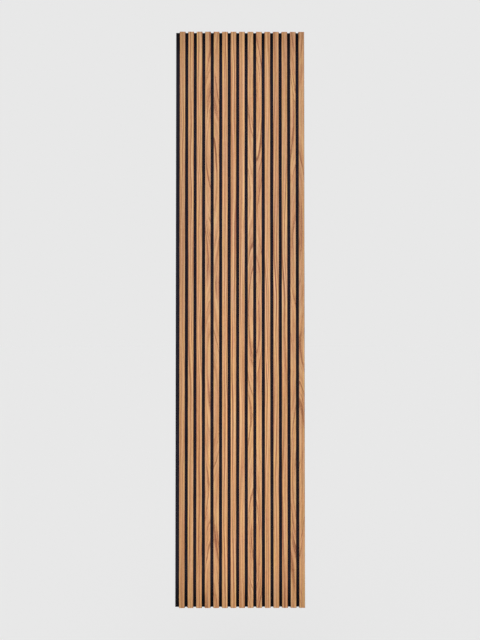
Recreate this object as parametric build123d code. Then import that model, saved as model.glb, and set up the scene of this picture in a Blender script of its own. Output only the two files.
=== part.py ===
from build123d import *
import os

# Acoustic slat panel: veneered slats glued and stapled to a felt board that is fixed to a wall.
# Sizes are in millimetres. X runs across the slats, Y from the slat faces back to the wall, Z up.
# The origin is the middle of the panel, on the plane of the felt's back face.

# Slats
slat_count = 15
slat_length = 2700.0
slat_width = 27.0
slat_depth = 12.0
slat_gap = 13.0
slat_edge_radius = 1.2  # easing of the two long edges beside the veneered face

# Felt board
felt_thickness = 9.0
felt_lap = 5.0  # the last slat overhangs the felt by this much, to cover the next panel's felt

# Staples, driven through the felt into the backs of the slats
staple_crown = 12.7
staple_wire_width = 1.2
staple_wire_thickness = 0.8
staple_point_slope = 0.6  # how far each leg's chisel point falls back across the wire
staple_recess = 0.5  # the crown is pressed this far into the felt
staple_cover = 4.5  # slat left between a staple's points and the slat's face
staple_row_pitch = 520.0
staple_end_inset = 50.0

# Worked out from the sizes above
slat_pitch = slat_width + slat_gap
felt_width = slat_count * slat_pitch
panel_width = felt_width + felt_lap
panel_left = -panel_width / 2
felt_front = -felt_thickness
slat_face = felt_front - slat_depth
first_slat_centre = panel_left + felt_lap + slat_gap + slat_width / 2
slat_centres = [first_slat_centre + i * slat_pitch for i in range(slat_count)]
staple_tip = slat_face + staple_cover
staple_row_span = slat_length - 2 * staple_end_inset
staple_rows = round(staple_row_span / staple_row_pitch) + 1
staple_heights = [staple_row_span * (i / (staple_rows - 1) - 0.5) for i in range(staple_rows)]


# One slat: the section is a bar whose two front corners are eased, run the length of the panel.
def slat_blank(centre):
    middle = Location((centre, (felt_front + slat_face) / 2))
    section = middle * Rectangle(slat_width, slat_depth)
    front_corners = section.vertices().sort_by(Axis.Y)[:2]
    section = fillet(front_corners, slat_edge_radius)
    return Pos(Z=-slat_length / 2) * extrude(section, amount=slat_length)


def felt_blank():
    middle = Pos(panel_left + felt_width / 2, felt_front / 2)
    return middle * Box(felt_width, felt_thickness, slat_length)


# One staple, bent from flat wire: a crown across the slat and two legs with chisel points.
# crown_back is where the back of the crown lies: at the felt's face it gives the staple's whole socket.
def staple_form(crown_back):
    crown_front = -staple_recess - staple_wire_thickness
    outside = staple_crown / 2
    inside = outside - staple_wire_thickness
    half = [
        (0, crown_back),
        (outside, crown_back),
        (outside, staple_tip + staple_point_slope),
        (inside, staple_tip),
        (inside, crown_front),
        (0, crown_front),
    ]
    right = make_face(Polyline(*half, close=True))
    bent_wire = right + mirror(right, about=Plane.YZ)
    return Pos(Z=-staple_wire_width / 2) * extrude(bent_wire, amount=staple_wire_width)


def staples_of(centre, form):
    return [Pos(centre, 0, height) * form for height in staple_heights]


def build_nodes():
    staple = staple_form(crown_back=-staple_recess)
    socket = staple_form(crown_back=0)
    nodes = {}
    staples = []
    sockets = []
    for number, centre in enumerate(slat_centres, start=1):
        slat_staples = staples_of(centre, staple)
        nodes[f"slat_{number:02d}"] = slat_blank(centre) - slat_staples
        staples += slat_staples
        sockets += staples_of(centre, socket)
    nodes["felt_backing"] = felt_blank() - sockets
    nodes["backing_staples"] = Compound(children=staples)
    return nodes


os.makedirs("parts", exist_ok=True)
for name, shape in build_nodes().items():
    export_step(shape, f"parts/{name}.step")
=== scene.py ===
import math

import bpy
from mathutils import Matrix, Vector


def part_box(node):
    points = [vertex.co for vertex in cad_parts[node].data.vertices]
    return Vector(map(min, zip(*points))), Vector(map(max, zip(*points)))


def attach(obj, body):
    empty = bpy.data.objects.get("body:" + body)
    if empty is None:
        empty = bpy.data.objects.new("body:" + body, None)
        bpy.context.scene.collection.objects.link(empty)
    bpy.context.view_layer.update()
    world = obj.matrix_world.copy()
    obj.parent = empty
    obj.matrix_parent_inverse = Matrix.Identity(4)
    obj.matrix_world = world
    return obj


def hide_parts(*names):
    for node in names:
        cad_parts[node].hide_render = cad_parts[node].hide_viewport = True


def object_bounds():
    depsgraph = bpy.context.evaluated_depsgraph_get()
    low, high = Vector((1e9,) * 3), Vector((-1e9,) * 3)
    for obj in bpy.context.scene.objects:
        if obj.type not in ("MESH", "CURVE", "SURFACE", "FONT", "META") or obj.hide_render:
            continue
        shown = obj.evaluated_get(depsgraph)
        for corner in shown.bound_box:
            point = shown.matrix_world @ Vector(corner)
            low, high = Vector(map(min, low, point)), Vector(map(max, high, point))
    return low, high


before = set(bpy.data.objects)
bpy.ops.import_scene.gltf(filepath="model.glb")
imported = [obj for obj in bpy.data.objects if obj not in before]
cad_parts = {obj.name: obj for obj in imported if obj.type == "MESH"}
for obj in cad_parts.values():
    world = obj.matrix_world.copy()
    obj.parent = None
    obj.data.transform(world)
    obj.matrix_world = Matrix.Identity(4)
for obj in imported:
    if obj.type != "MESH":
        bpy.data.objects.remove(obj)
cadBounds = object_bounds()
scene = bpy.context.scene
print("frame loaded:", len(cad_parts), "nodes")

# Where things lie, taken from the frame, in metres
slatNames = sorted(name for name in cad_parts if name.startswith("slat_"))
firstLow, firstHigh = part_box(slatNames[0])
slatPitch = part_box(slatNames[1])[0].x - firstLow.x
slatSize = firstHigh - firstLow
slatFace = firstLow.y
feltLow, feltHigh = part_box("felt_backing")


# Small helpers for materials

def newMaterial(name):
    material = bpy.data.materials.new(name)
    material.use_nodes = True
    return material, material.node_tree, material.node_tree.nodes["Principled BSDF"]


def feed(tree, socket, value):
    if isinstance(value, bpy.types.NodeSocket):
        tree.links.new(value, socket)
    else:
        socket.default_value = value


def addNode(tree, kind, inputs=(), **settings):
    made = tree.nodes.new("ShaderNode" + kind)
    for name, value in settings.items():
        setattr(made, name, value)
    for key, value in dict(inputs).items():
        feed(tree, made.inputs[key], value)
    return made


def objectPoint(tree):
    return addNode(tree, "TexCoord").outputs["Object"]


def calc(tree, operation, a, b=0.0, c=0.0):
    made = addNode(tree, "Math", operation=operation)
    for socket, value in zip(made.inputs, (a, b, c)):
        feed(tree, socket, value)
    return made.outputs[0]


def place(tree, x, y, z):
    return addNode(tree, "CombineXYZ", {"X": x, "Y": y, "Z": z}).outputs[0]


def noise(tree, vector, detail, roughness=0.5, scale=1.0, distortion=0.0):
    made = addNode(tree, "TexNoise", {"Vector": vector, "Scale": scale, "Detail": detail})
    made.inputs["Roughness"].default_value = roughness
    made.inputs["Distortion"].default_value = distortion
    return made.outputs["Fac"]


def fade(tree, value, low, high, toLow=0.0, toHigh=1.0):
    made = addNode(tree, "MapRange", {"Value": value}, interpolation_type="SMOOTHSTEP")
    for key, number in zip(("From Min", "From Max", "To Min", "To Max"), (low, high, toLow, toHigh)):
        made.inputs[key].default_value = number
    return made.outputs[0]


def blendColour(tree, factor, a, b, mode="MIX"):
    made = addNode(tree, "Mix", data_type="RGBA", blend_type=mode)
    feed(tree, made.inputs["Factor"], factor)
    feed(tree, made.inputs["A"], a)
    feed(tree, made.inputs["B"], b)
    return made.outputs["Result"]


def ramp(tree, value, stops):
    made = addNode(tree, "ValToRGB", {"Fac": value})
    elements = made.color_ramp.elements
    while len(elements) < len(stops):
        elements.new(0.5)
    for element, (position, colour) in zip(elements, stops):
        element.position = position
        element.color = (*colour, 1.0)
    return made.outputs["Color"]


def addBump(tree, shader, height, strength, depth):
    bump = addNode(tree, "Bump", {"Height": height, "Strength": strength, "Distance": depth})
    feed(tree, shader.inputs["Normal"], bump.outputs[0])


# Oak veneer: crown-cut leaves, each cut into slats, with the growth rings worked out from a log

oakVeneer = {
    "slatsPerLeaf": 5.0,
    "heart": 3.5,                   # the crown figure lies between the 4th and 5th slat of a leaf
    "leafStep": 0.050,              # width of leaf that one slat takes up
    "crownReach": (0.040, 0.085),   # the crown figure fades out between these distances from the heart
    "ringDepth": 0.046,             # how far the cut lies from the middle of the log
    "ringSwing": 0.018,             # how much that distance comes and goes along the log
    "outerSwing": 0.20,             # share of the swing that is left away from the heart
    "swingLength": 1.055,
    "swingStart": 0.97,             # height at which the first leaf's figure points up
    "leafShift": 0.36,              # how much higher it does so in each next leaf
    "slatShift": 0.20,              # how far slats of one leaf are shifted along each other
    "wander": 0.015,                # sideways wander of the heart
    "wanderLength": 0.42,
    "rippleDepth": 0.0016,
    "outerRipple": 0.40,            # share of the ripple that is left away from the heart
    "ringWidth": 0.0125,            # from one dark ring to the next
    "ringFade": 0.45,               # part of that width over which a dark ring fades out
    "ringChance": (0.25, 0.90),     # rings drawn below the first are plain, above the second fully dark
    "outerRings": 0.20,             # share of the rings' shade that is left away from the heart
    # width and length of each kind of grain
    "stripe": (0.0048, 2.2),        # stripes that run the whole length of a slat
    "streak": (0.0046, 0.75),
    "line": (0.0016, 0.60),
    "fibre": (0.0013, 0.019),
    "hair": (0.00030, 0.020),       # the finest grain, seen only from near
    "pore": (0.00040, 0.0080),
    "figure": (0.0034, 0.30),       # thin dark lines of the crown figure
    "patch": (0.030, 0.20),         # broad patches, stronger near the crown figure
    "ripple": (0.012, 0.060),
    "blush": (0.0026, 0.09),        # faint tints that come and go along the grain
    "honey": (0.0028, 0.20),
    "streakShift": 0.0052,          # a dark streak has a pale one this far beside it
    "figureEdge": (0.58, 0.72),     # levels of the noise between which a line of the figure comes in
    "poreEdge": (0.30, 0.42),       # and between which a pore fades out
    "dashEdge": (0.40, 0.58),       # a line of the figure is a band of dashes
    "dashShade": (1.20, 0.30),
    # how strongly each kind shows
    "base": 0.50,
    "stripeContrast": 0.66,
    "streakContrast": 1.75,
    "crownStreaks": 0.28,           # streaks are fainter where the crown figure is
    "lineContrast": 0.70,
    "fibreContrast": 0.80,
    "hairContrast": 0.55,
    "poreContrast": 0.44,
    "ringContrast": 0.38,           # soft shade on one side of a ring
    "figureContrast": 0.90,
    "patchContrast": 0.14,
    "crownPatches": 0.62,
    "crownLight": 0.06,             # the wood between the crown's dark lines is a little paler
    "slatContrast": 0.06,
    "edgeLight": 0.20,              # the veneer is a little paler along its edges
    "edgeReach": (0.0045, 0.0090),  # between these distances from a slat's middle
    # colours
    "darkRoom": 0.30,               # part of the colours below that is kept for grain under 0
    "tones": [                      # from the darkest pits to the palest wood
        (0.00, (0.232, 0.076, 0.030)),
        (0.30, (0.388, 0.1446, 0.0532)),
        (0.65, (0.580, 0.285, 0.1232)),
        (0.86, (0.6746, 0.3843, 0.1673)),
        (1.00, (0.7327, 0.4435, 0.1933)),
    ],
    "blushTint": (1.037, 0.978, 1.0),   # each tint is set against its opposite
    "honeyTint": (1.013, 1.0, 0.85),
    "tintEdge": (0.35, 0.65),
    "rimTint": (1.07, 0.96, 0.92),  # the veneer is a little redder along its two long edges
    "rimReach": (0.0085, 0.0115),   # between these distances from a slat's middle
    # finish
    "roughGrain": (0.2, 0.8),       # from dark to pale grain
    "roughness": (0.63, 0.50),
    "specular": 0.35,
    "fibreHeight": 0.4,             # beside a pore's depth of 1
    "bump": 0.25,
    "bumpDepth": 0.0002,
    # places in the noise, which make leaves and slats differ
    "leafSeed": 17.3,
    "slatSeed": 5.71,
    "toneSeed": 40.0,
    "swaySeed": 8.4,
    "unevenSeed": 3.1,
}


def makeOakVeneer(v):
    material, tree, shader = newMaterial("oakVeneer")
    split = addNode(tree, "SeparateXYZ", {"Vector": objectPoint(tree)})
    x = split.outputs["X"]
    z = split.outputs["Z"]

    def plus(a, b):
        return calc(tree, "ADD", a, b)

    def minus(a, b):
        return calc(tree, "SUBTRACT", a, b)

    def times(a, b):
        return calc(tree, "MULTIPLY", a, b)

    def over(a, b):
        return calc(tree, "DIVIDE", a, b)

    def scaled(a, scale, base):  # base + scale * a
        return calc(tree, "MULTIPLY_ADD", a, scale, base)

    def centred(a, scale, base):  # base + scale * (a - 0.5)
        return scaled(minus(a, 0.5), scale, base)

    def chance(number):
        return addNode(tree, "TexWhiteNoise", {"W": number}, noise_dimensions="1D").outputs["Value"]

    # slat number, and the place across its face
    firstLeft = firstLow.x - (slatPitch - slatSize.x) / 2
    steps = over(minus(x, firstLeft), slatPitch)
    slat = calc(tree, "FLOOR", steps)
    across = times(minus(calc(tree, "FRACT", steps), 0.5), slatPitch)
    fromMiddle = calc(tree, "ABSOLUTE", across)
    slatSeed = times(slat, v["slatSeed"])
    tone = chance(plus(slat, v["toneSeed"]))

    def grainNoise(kind, sideways, detail, roughness=0.5):
        width, length = v[kind]
        spot = place(tree, over(sideways, width), over(z, length), slatSeed)
        return noise(tree, spot, detail, roughness)

    # one leaf of veneer gives several slats side by side
    leaf = calc(tree, "FLOOR", over(slat, v["slatsPerLeaf"]))
    inLeaf = minus(slat, times(leaf, v["slatsPerLeaf"]))
    leafX = scaled(minus(inLeaf, v["heart"]), v["leafStep"], across)
    leafSeed = times(leaf, v["leafSeed"])
    along = over(z, v["wanderLength"])
    sway = noise(tree, place(tree, along, leafSeed, v["swaySeed"]), 1.0, 0.4)
    heartX = centred(sway, v["wander"] * 2, leafX)
    nearHeart = fade(tree, calc(tree, "ABSOLUTE", heartX), *v["crownReach"], 1.0, 0.0)

    def lessOutside(share):  # 1 at the heart, share away from it
        return scaled(nearHeart, 1 - share, share)

    # rings: distance from the log's middle, which the cut approaches and leaves along the length
    peak = centred(tone, v["slatShift"], scaled(leaf, v["leafShift"], v["swingStart"]))
    turns = over(minus(z, peak), v["swingLength"] / math.tau)
    uneven = noise(tree, place(tree, along, leafSeed, v["unevenSeed"]), 1.0, 0.4)
    swing = centred(uneven, 1.0, calc(tree, "SINE", turns))
    swing = times(swing, lessOutside(v["outerSwing"]))
    cutDepth = scaled(swing, v["ringSwing"], v["ringDepth"])
    ring = calc(tree, "SQRT", plus(times(heartX, heartX), times(cutDepth, cutDepth)))
    ripple = minus(grainNoise("ripple", across, 2.0), 0.5)
    ripple = times(ripple, lessOutside(v["outerRipple"]))
    ring = scaled(ripple, v["rippleDepth"] * 2, ring)

    # dark rings start sharply and fade out, some stronger than others
    rings = over(ring, v["ringWidth"])
    ringTone = chance(plus(calc(tree, "FLOOR", rings), slatSeed))
    ringShade = fade(tree, calc(tree, "FRACT", rings), 0.0, v["ringFade"], 1.0, 0.0)
    ringShade = times(ringShade, fade(tree, ringTone, *v["ringChance"]))
    ringShade = times(ringShade, lessOutside(v["outerRings"]))
    figure = times(fade(tree, grainNoise("figure", ring, 0.0), *v["figureEdge"]), nearHeart)

    # long stripes, streaks, thin lines, fibres and pores
    stripe = grainNoise("stripe", across, 1.0)
    darkStreak = grainNoise("streak", ring, 1.0, 0.4)
    paleStreak = grainNoise("streak", plus(ring, v["streakShift"]), 1.0, 0.4)
    line = grainNoise("line", ring, 1.0)
    fibre = grainNoise("fibre", across, 3.0, 0.6)
    hair = grainNoise("hair", across, 2.0, 0.6)
    pore = grainNoise("pore", across, 1.0)
    patch = grainNoise("patch", across, 1.0)
    poreDip = fade(tree, pore, *v["poreEdge"], 1.0, 0.0)
    dashes = fade(tree, pore, *v["dashEdge"], *v["dashShade"])

    # all of it added up, about 0 for dark and 1 for pale
    grain = fade(tree, fromMiddle, *v["edgeReach"], v["base"], v["base"] + v["edgeLight"])
    grain = scaled(nearHeart, v["crownLight"], grain)
    grain = centred(stripe, v["stripeContrast"], grain)
    streaks = scaled(nearHeart, v["streakContrast"] * (v["crownStreaks"] - 1), v["streakContrast"])
    grain = scaled(minus(paleStreak, darkStreak), streaks, grain)
    grain = centred(line, v["lineContrast"], grain)
    grain = centred(fibre, v["fibreContrast"], grain)
    grain = centred(tone, v["slatContrast"], grain)
    grain = centred(patch, scaled(nearHeart, v["crownPatches"], v["patchContrast"]), grain)
    grain = scaled(ringShade, -v["ringContrast"], grain)
    grain = scaled(times(figure, dashes), -v["figureContrast"], grain)
    grain = centred(hair, v["hairContrast"], grain)
    grain = scaled(poreDip, -v["poreContrast"], grain)

    colour = ramp(tree, scaled(grain, 1 - v["darkRoom"], v["darkRoom"]), v["tones"])
    for kind, tint in (("blush", v["blushTint"]), ("honey", v["honeyTint"])):
        opposite = [2 - part for part in tint]
        share = fade(tree, grainNoise(kind, across, 1.0), *v["tintEdge"])
        tinge = blendColour(tree, share, (*opposite, 1.0), (*tint, 1.0))
        colour = blendColour(tree, 1.0, colour, tinge, "MULTIPLY")
    atRim = fade(tree, fromMiddle, *v["rimReach"])
    colour = blendColour(tree, atRim, colour, (*v["rimTint"], 1.0), "MULTIPLY")
    feed(tree, shader.inputs["Base Color"], colour)
    feed(tree, shader.inputs["Roughness"], fade(tree, grain, *v["roughGrain"], *v["roughness"]))
    shader.inputs["Specular IOR Level"].default_value = v["specular"]
    height = minus(times(plus(fibre, hair), v["fibreHeight"]), poreDip)
    addBump(tree, shader, height, v["bump"], v["bumpDepth"])
    return material


oak = makeOakVeneer(oakVeneer)
print("oak veneer ready")

# Black-dyed fibreboard: the body of each slat, seen on its sides, sawn ends and back

fibreboard = {
    "fleckSize": 0.0009,
    "tones": [(0.30, (0.0090, 0.0075, 0.0075)), (0.70, (0.0200, 0.0165, 0.0160))],
    "roughness": 0.80,
    "specular": 0.12,
    "bump": 0.4,
    "bumpDepth": 0.0003,
}


def makeFibreboard(v):
    material, tree, shader = newMaterial("blackFibreboard")
    fleck = noise(tree, objectPoint(tree), 3.0, scale=1 / v["fleckSize"])
    feed(tree, shader.inputs["Base Color"], ramp(tree, fleck, v["tones"]))
    shader.inputs["Roughness"].default_value = v["roughness"]
    shader.inputs["Specular IOR Level"].default_value = v["specular"]
    addBump(tree, shader, fleck, v["bump"], v["bumpDepth"])
    return material


core = makeFibreboard(fibreboard)

# Black needled felt

blackFelt = {
    "driftSize": 0.050,             # faint bands left by carding, stretched up the board
    "driftLength": 0.18,
    "driftContrast": 0.24,
    "clumpSize": 0.0042,
    "clumpTwist": 1.5,
    "fibreSize": 0.0005,
    "fibreStretch": (1.0, 1.0, 0.12),   # a fibre's width as a share of its length
    "fibreTwist": 0.4,
    "fibreTurns": (15, 75, 135),    # fibres lie three ways
    "fibreLift": 0.12,              # the topmost of three fibres stands this much above the mean
    "fibreShare": 0.50,             # share of the nap that is fibres, the rest being clumps
    "tones": [(0.36, (0.0084, 0.0067, 0.0107)), (0.64, (0.0294, 0.0238, 0.0376))],
    "paintedShadeLength": 0.16,                # painted shade: its front is darker over this length at the top and bottom
    "paintedEndShade": (0.25, 0.25, 0.25),
    "frontDepth": (0.001, 0.004),   # what counts as its front fades out between these depths
    "roughness": 0.95,
    "specular": 0.1,
    "sheen": 0.05,
    "sheenRoughness": 0.6,
    "bump": 0.7,
    "bumpDepth": 0.0008,
}


def makeBlackFelt(v):
    material, tree, shader = newMaterial("blackFelt")
    point = objectPoint(tree)
    x, y, z = addNode(tree, "SeparateXYZ", {"Vector": point}).outputs
    driftX = calc(tree, "DIVIDE", x, v["driftSize"])
    driftZ = calc(tree, "DIVIDE", z, v["driftLength"])
    drift = noise(tree, place(tree, driftX, y, driftZ), 2.0)
    clump = noise(tree, point, 4.0, scale=1 / v["clumpSize"], distortion=v["clumpTwist"])

    # fibres lie across each other, and the topmost one shows
    fibre = 0.0
    for turn in v["fibreTurns"]:
        turned = addNode(tree, "Mapping", {"Vector": point, "Rotation": (0.0, math.radians(turn), 0.0)})
        drawn = addNode(tree, "Mapping", {"Vector": turned.outputs[0], "Scale": v["fibreStretch"]})
        strands = noise(tree, drawn.outputs[0], 1.0, scale=1 / v["fibreSize"], distortion=v["fibreTwist"])
        fibre = calc(tree, "MAXIMUM", strands, fibre)
    fibre = calc(tree, "SUBTRACT", fibre, v["fibreLift"])
    clumps = calc(tree, "MULTIPLY", clump, 1 - v["fibreShare"])
    nap = calc(tree, "MULTIPLY_ADD", fibre, v["fibreShare"], clumps)
    tone = calc(tree, "MULTIPLY_ADD", calc(tree, "SUBTRACT", drift, 0.5), v["driftContrast"], nap)
    colour = ramp(tree, tone, v["tones"])

    # painted shade: the front of the felt is darkened towards its top and bottom ends, standing in for
    # the light falling off there
    nearPaintedShade = fade(tree, calc(tree, "ABSOLUTE", z), feltHigh.z - v["paintedShadeLength"], feltHigh.z)
    frontStart, frontEnd = v["frontDepth"]
    onFront = fade(tree, y, feltLow.y + frontStart, feltLow.y + frontEnd, 1.0, 0.0)
    paintedShade = calc(tree, "MULTIPLY", nearPaintedShade, onFront)
    colour = blendColour(tree, paintedShade, colour, (*v["paintedEndShade"], 1.0), "MULTIPLY")
    feed(tree, shader.inputs["Base Color"], colour)
    shader.inputs["Roughness"].default_value = v["roughness"]
    shader.inputs["Specular IOR Level"].default_value = v["specular"]
    shader.inputs["Sheen Weight"].default_value = v["sheen"]
    shader.inputs["Sheen Roughness"].default_value = v["sheenRoughness"]
    addBump(tree, shader, nap, v["bump"], v["bumpDepth"])
    return material


felt = makeBlackFelt(blackFelt)

# Galvanised staple wire

stapleWire = {
    "spangle": 0.0012,
    "stretch": (0.15, 1.0, 1.0),    # the wire's marks run along its crown
    "tones": [(0.35, (0.48, 0.485, 0.49)), (0.65, (0.66, 0.66, 0.65))],
    "roughEdge": (0.3, 0.7),        # from dull to bright marks
    "roughness": (0.46, 0.34),
}


def makeStapleWire(v):
    material, tree, shader = newMaterial("stapleWire")
    drawn = addNode(tree, "Mapping", {"Vector": objectPoint(tree), "Scale": v["stretch"]})
    marks = noise(tree, drawn.outputs[0], 3.0, scale=1 / v["spangle"])
    feed(tree, shader.inputs["Base Color"], ramp(tree, marks, v["tones"]))
    feed(tree, shader.inputs["Roughness"], fade(tree, marks, *v["roughEdge"], *v["roughness"]))
    shader.inputs["Metallic"].default_value = 1.0
    return material


steel = makeStapleWire(stapleWire)
print("materials ready")


# Small helpers for modelling

near = 1e-5                         # points closer than this lie in one plane
smoothAngle = math.radians(40)      # edges sharper than this stay sharp


def startPiece():
    if bpy.context.object and bpy.context.object.mode != "OBJECT":
        bpy.ops.object.mode_set(mode="OBJECT")
    bpy.ops.object.select_all(action="DESELECT")


def pick(piece, kind, test):
    bpy.ops.object.mode_set(mode="EDIT")
    bpy.ops.mesh.select_mode(type=kind)
    bpy.ops.mesh.select_all(action="DESELECT")
    bpy.ops.object.mode_set(mode="OBJECT")
    corners = piece.data.vertices
    parts = {"VERT": corners, "EDGE": piece.data.edges}[kind]
    for part in parts:
        points = [part.co] if kind == "VERT" else [corners[i].co for i in part.vertices]
        part.select = bool(test(points))
    bpy.ops.object.mode_set(mode="EDIT")


def applyAll(piece):
    bpy.ops.object.mode_set(mode="OBJECT")
    for modifier in list(piece.modifiers):
        bpy.ops.object.modifier_apply(modifier=modifier.name)


# Slats

oakSlat = {
    "edgeEase": 0.0012,             # radius of the two long front edges
    "edgeSteps": 5,
}


def makeSlat(v):
    startPiece()
    bpy.ops.mesh.primitive_cube_add(size=1.0, location=(firstLow + firstHigh) / 2)
    slat = bpy.context.object
    slat.name = "oak_slat_01"
    slat.scale = slatSize
    bpy.ops.object.transform_apply(location=True, rotation=True, scale=True)

    # ease the long front edges
    def longFrontEdge(ends):
        onFace = all(point.y < slatFace + near for point in ends)
        return onFace and abs(ends[0].z - ends[1].z) > slatSize.z / 2

    pick(slat, "EDGE", longFrontEdge)
    bpy.ops.mesh.bevel(offset=v["edgeEase"], segments=v["edgeSteps"], profile=0.5, affect="EDGES")

    # veneer on the flat face, the black body elsewhere
    bpy.ops.object.mode_set(mode="OBJECT")
    slat.data.materials.append(oak)
    slat.data.materials.append(core)
    for face in slat.data.polygons:
        face.material_index = 0 if face.normal.y < near - 1 else 1
    bpy.ops.object.shade_smooth_by_angle(angle=smoothAngle)
    return slat


def copySlat(slat, number):
    startPiece()
    slat.select_set(True)
    bpy.context.view_layer.objects.active = slat
    bpy.ops.object.duplicate(linked=False)
    other = bpy.context.object
    other.name = f"oak_slat_{number:02d}"
    bpy.ops.transform.translate(value=(slatPitch * (number - 1), 0.0, 0.0))
    bpy.ops.object.transform_apply(location=True, rotation=True, scale=True)
    return other


firstSlat = makeSlat(oakSlat)
slats = [firstSlat] + [copySlat(firstSlat, n) for n in range(2, len(slatNames) + 1)]
for slat, node in zip(slats, slatNames):
    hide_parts(node)
    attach(slat, "root")
print("slats:", len(slats))

# Staples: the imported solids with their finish

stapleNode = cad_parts["backing_staples"]
stapleNode.data.materials.clear()
stapleNode.data.materials.append(steel)
stapleRows = sorted({round(corner.co.z, 2) for corner in stapleNode.data.vertices})

# Felt board: a slab with soft rims and a slightly uneven nap, pressed in where the staples hold it

feltBoard = {
    "cells": (75, 270),             # across and up
    "rimEase": 0.0009,
    "rimSteps": 2,
    "unevenness": 0.0004,
    "waveSize": 0.05,
    "press": 0.0011,                # depth of the dimple at a staple, enough to lay its crown bare
    "pressWidth": 0.009,            # half its width and half its height
    "pressHeight": 0.004,
    "backDepth": 0.002,             # what counts as the board's back
}


def atStaple(point, v):
    places = (point.x - (firstLow.x + firstHigh.x) / 2) / slatPitch
    onSlat = 0 <= round(places) < len(slatNames)
    onBack = point.y > feltHigh.y - v["backDepth"]
    fromSlat = abs(places - round(places)) * slatPitch
    fromRow = min(abs(point.z - row) for row in stapleRows)
    return onSlat and onBack and fromSlat < v["pressWidth"] and fromRow < v["pressHeight"]


def onRim(point):
    sideways = min(point.x - feltLow.x, feltHigh.x - point.x)
    upright = min(point.z - feltLow.z, feltHigh.z - point.z)
    return min(sideways, upright) < near


def makeFeltBoard(v):
    startPiece()
    size = feltHigh - feltLow
    middle = (feltLow + feltHigh) / 2
    across, up = v["cells"]
    front = (middle.x, feltLow.y, middle.z)
    upright = (math.pi / 2, 0.0, 0.0)
    bpy.ops.mesh.primitive_grid_add(x_subdivisions=across, y_subdivisions=up, size=1.0,
                                    location=front, rotation=upright)
    board = bpy.context.object
    board.name = "felt_board"
    board.scale = (size.x, size.z, 1.0)
    bpy.ops.object.transform_apply(location=True, rotation=True, scale=True)
    slab = board.modifiers.new("slab", "SOLIDIFY")
    slab.thickness = size.y
    slab.offset = -1.0
    applyAll(board)

    # soften the rims of the front and the back
    pick(board, "EDGE", lambda ends: all(onRim(p) for p in ends) and abs(ends[0].y - ends[1].y) < near)
    bpy.ops.mesh.bevel(offset=v["rimEase"], segments=v["rimSteps"], profile=0.5, affect="EDGES")

    # let the nap sink unevenly, except at the staples
    nap = board.vertex_groups.new(name="nap")
    pick(board, "VERT", lambda points: not onRim(points[0]) and not atStaple(points[0], v))
    bpy.ops.object.vertex_group_assign()
    wave = bpy.data.textures.new("napWave", "CLOUDS")
    wave.noise_scale = v["waveSize"]
    sink = board.modifiers.new("sink", "DISPLACE")
    sink.texture = wave
    sink.texture_coords = "LOCAL"
    sink.vertex_group = nap.name
    sink.strength = v["unevenness"]
    sink.mid_level = 1.0
    applyAll(board)

    # press it in at the staples
    pick(board, "VERT", lambda points: atStaple(points[0], v))
    bpy.ops.transform.translate(value=(0.0, -v["press"], 0.0))
    bpy.ops.object.mode_set(mode="OBJECT")
    board.data.materials.append(felt)
    bpy.ops.object.shade_smooth_by_angle(angle=smoothAngle)
    return board


board = makeFeltBoard(feltBoard)
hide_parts("felt_backing")
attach(board, "root")
print("felt board:", len(board.data.polygons), "faces")

# Stage: a pale floor below the panel, an even pale world and soft lamps

stage = {
    "pale": 0.807,                  # the floor and the background, as the camera sees them
    "floorDrop": 0.40,
    "floorSize": 120.0,
    "glow": 0.75,                   # share of the floor's look that is even, whatever shadow falls on it
    "ambient": 0.24,
    "frontWatts": 3.9,
    "frontPlace": (0.009, -1.22, 0.0),
    "frontWay": (0.0, 1.0, 0.0),
    "frontWide": 0.74,
    "frontTall": 2.80,
    "frontSpread": 30.0,
    "upperTint": (0.975, 0.992, 1.068),     # the light is cooler towards the top
    "lowerTint": (1.022, 0.992, 0.956),     # and warmer towards the bottom
    "topWay": (0.1, 0.35, -1.0),
    "topShare": 0.25,
    "topSoftness": 50.0,
    "backWay": (-0.2, -1.0, -0.25),
    "backShare": 0.55,
    "backSoftness": 40.0,
}
white = (1.0, 1.0, 1.0, 1.0)


def seenRays(tree):
    rays = addNode(tree, "LightPath").outputs
    mirrored = calc(tree, "MAXIMUM", rays["Is Glossy Ray"], rays["Is Transmission Ray"])
    return calc(tree, "MAXIMUM", rays["Is Camera Ray"], mirrored)


def makeFloor(v):
    startPiece()
    height = cadBounds[0].z - v["floorDrop"]
    bpy.ops.mesh.primitive_plane_add(size=v["floorSize"], location=(0.0, 0.0, height))
    floor = bpy.context.object
    floor.name = "studio_floor"
    material, tree, shader = newMaterial("studioFloor")
    shader.inputs["Base Color"].default_value = (v["pale"], v["pale"], v["pale"], 1.0)
    shader.inputs["Roughness"].default_value = 1.0
    shader.inputs["Specular IOR Level"].default_value = 0.0

    # light that reaches the floor, and the glow that brings its look to the background's
    fromTop = v["topShare"] * Vector(v["topWay"]).normalized().z
    fromBack = v["backShare"] * Vector(v["backWay"]).normalized().z
    lit = v["ambient"] - fromTop - fromBack
    level = v["pale"] * (1 - lit * (1 - v["glow"])) / v["glow"]
    glow = addNode(tree, "Emission", {"Color": white, "Strength": level})
    share = calc(tree, "MULTIPLY", seenRays(tree), v["glow"])
    both = addNode(tree, "MixShader", {"Fac": share, 1: shader.outputs[0], 2: glow.outputs[0]})
    feed(tree, tree.nodes["Material Output"].inputs["Surface"], both.outputs[0])
    floor.data.materials.append(material)


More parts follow.
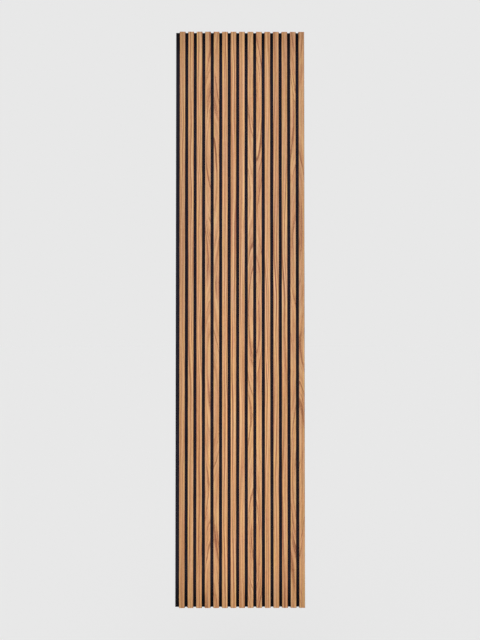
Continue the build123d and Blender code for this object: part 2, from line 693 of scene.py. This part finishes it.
def makeWorld(v):
    world = bpy.data.worlds.new("studioWorld")
    scene.world = world
    world.use_nodes = True
    tree = world.node_tree
    soft = tree.nodes["Background"]
    soft.inputs["Color"].default_value = white
    soft.inputs["Strength"].default_value = v["ambient"]
    plain = addNode(tree, "Background", {"Color": white, "Strength": v["pale"]})
    both = addNode(tree, "MixShader", {"Fac": seenRays(tree), 1: soft.outputs[0], 2: plain.outputs[0]})
    feed(tree, tree.nodes["World Output"].inputs["Surface"], both.outputs[0])


def addLamp(name, kind, spot, way):
    bpy.ops.object.light_add(type=kind, location=spot)
    lamp = bpy.context.object
    lamp.name = name
    lamp.rotation_euler = Vector(way).to_track_quat("-Z", "Y").to_euler()
    return lamp


def makeSun(name, way, share, softness):
    lamp = addLamp(name, "SUN", (0.0, 0.0, 0.0), way)
    lamp.data.energy = math.pi * share
    lamp.data.angle = math.radians(softness)


def makeFrontHalf(name, side, tint, v):
    spot = Vector(v["frontPlace"]) + Vector((0.0, 0.0, side * v["frontTall"] / 4))
    lamp = addLamp(name, "AREA", spot, v["frontWay"])
    lamp.data.shape = "RECTANGLE"
    lamp.data.size = v["frontWide"]
    lamp.data.size_y = v["frontTall"] / 2
    lamp.data.spread = math.radians(v["frontSpread"])
    lamp.data.energy = v["frontWatts"] / 2
    lamp.data.color = tint
    lamp.visible_camera = False


makeFloor(stage)
makeWorld(stage)
startPiece()
makeFrontHalf("upper_lamp", 1, stage["upperTint"], stage)
makeFrontHalf("lower_lamp", -1, stage["lowerTint"], stage)
makeSun("top_lamp", stage["topWay"], stage["topShare"], stage["topSoftness"])
makeSun("back_lamp", stage["backWay"], stage["backShare"], stage["backSoftness"])

# Camera, fitted to the photograph's frame of 480 by 640 pixels

cameraView = {
    "place": (-0.0127, -2.876, -0.0561),
    "tiltUp": 0.01591,
    "turn": -0.00437,
    "focalPixels": 609.5,
    "frameHeight": 640.0,
    "sensor": 36.0,
    "farthest": 200.0,
}
aim = (math.pi / 2 + cameraView["tiltUp"], 0.0, cameraView["turn"])
bpy.ops.object.camera_add(location=cameraView["place"], rotation=aim)
camera = bpy.context.object
camera.data.sensor_width = cameraView["sensor"]
camera.data.lens = cameraView["focalPixels"] * cameraView["sensor"] / cameraView["frameHeight"]
camera.data.clip_end = cameraView["farthest"]
scene.camera = camera
scene.view_settings.view_transform = "Standard"
print("stage and camera ready")
